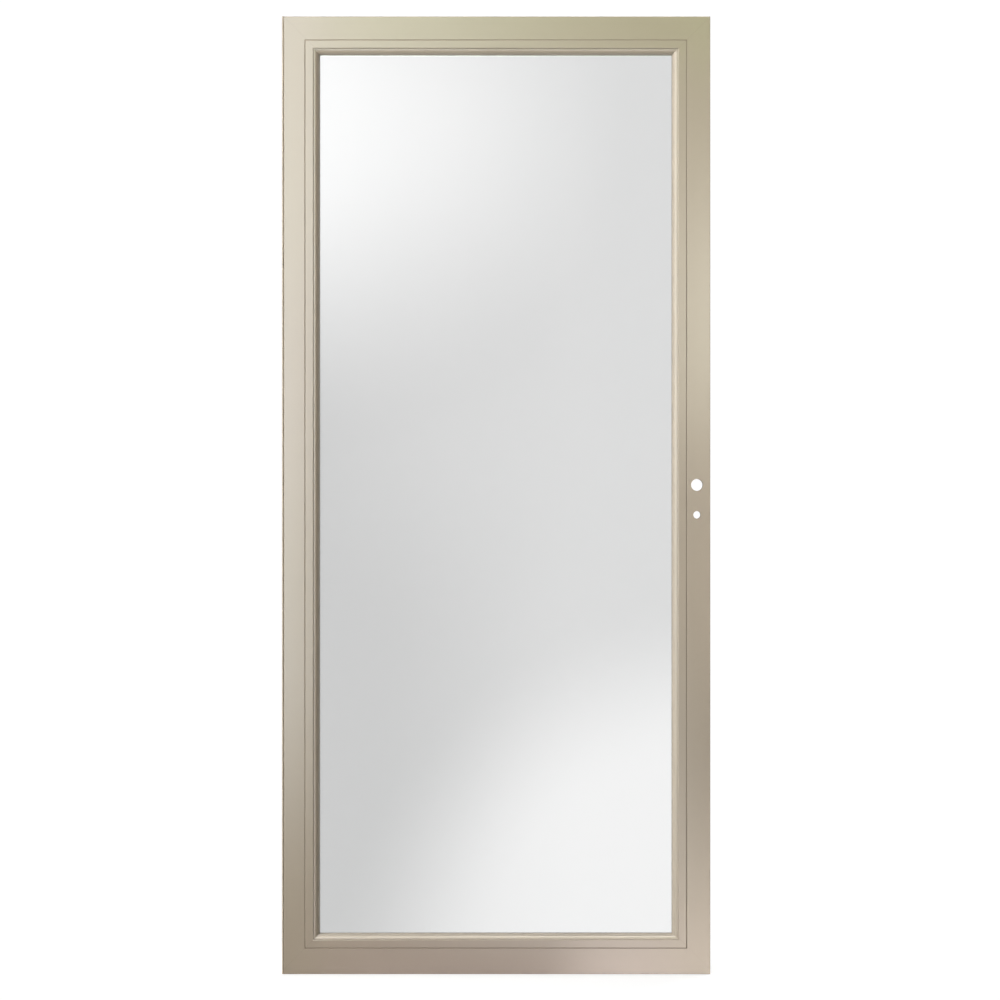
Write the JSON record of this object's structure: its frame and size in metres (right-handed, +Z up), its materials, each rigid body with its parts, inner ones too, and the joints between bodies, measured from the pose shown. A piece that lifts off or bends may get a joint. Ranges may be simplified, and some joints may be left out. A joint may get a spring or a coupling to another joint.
{
  "type": "aluminium storm door",
  "caption": "Full-view storm door leaf: mitred painted aluminium frame round a single glass pane, with bare handle holes, swinging outward on a full-length hinge.",
  "frame": {"origin": "on the jamb face of the hinge, level with its lower end, in the middle of the door's depth", "axes": "+X from hinge edge to latch edge, +Y from outside to inside, +Z up"},
  "size_m": [0.909, 0.0385, 2.0328],
  "materials": {
    "frame_paint": "satin",
    "key_aluminium": "matte",
    "gasket_rubber": "matte",
    "retainer_vinyl": "matte",
    "glass": "gloss",
    "pin_steel": "satin"
  },
  "bodies": {
    "hinge_rail": {"hinge_jamb_leaf": "frame_paint", "hinge_pin": "pin_steel"},
    "door_leaf": {"hinge_stile": "frame_paint", "top_rail": "frame_paint", "latch_stile": "frame_paint", "bottom_rail": "frame_paint", "corner_key_bottom_hinge": "key_aluminium", "corner_key_top_hinge": "key_aluminium", "corner_key_top_latch": "key_aluminium", "corner_key_bottom_latch": "key_aluminium", "insert_hinge": "frame_paint", "insert_top": "frame_paint", "insert_latch": "frame_paint", "insert_bottom": "frame_paint", "gasket_hinge": "gasket_rubber", "gasket_top": "gasket_rubber", "gasket_latch": "gasket_rubber", "gasket_bottom": "gasket_rubber", "glass_pane": "glass", "retainer_hinge": "retainer_vinyl", "retainer_top": "retainer_vinyl", "retainer_latch": "retainer_vinyl", "retainer_bottom": "retainer_vinyl", "hinge_door_leaf": "frame_paint"}
  },
  "joints": [
    {"name": "door_swing", "type": "hinge", "parent": "hinge_rail", "child": "door_leaf", "pos_m": [0.002, -0.0178, 0], "axis": [0, 0, -1], "range_deg": [0, 110]}
  ]
}
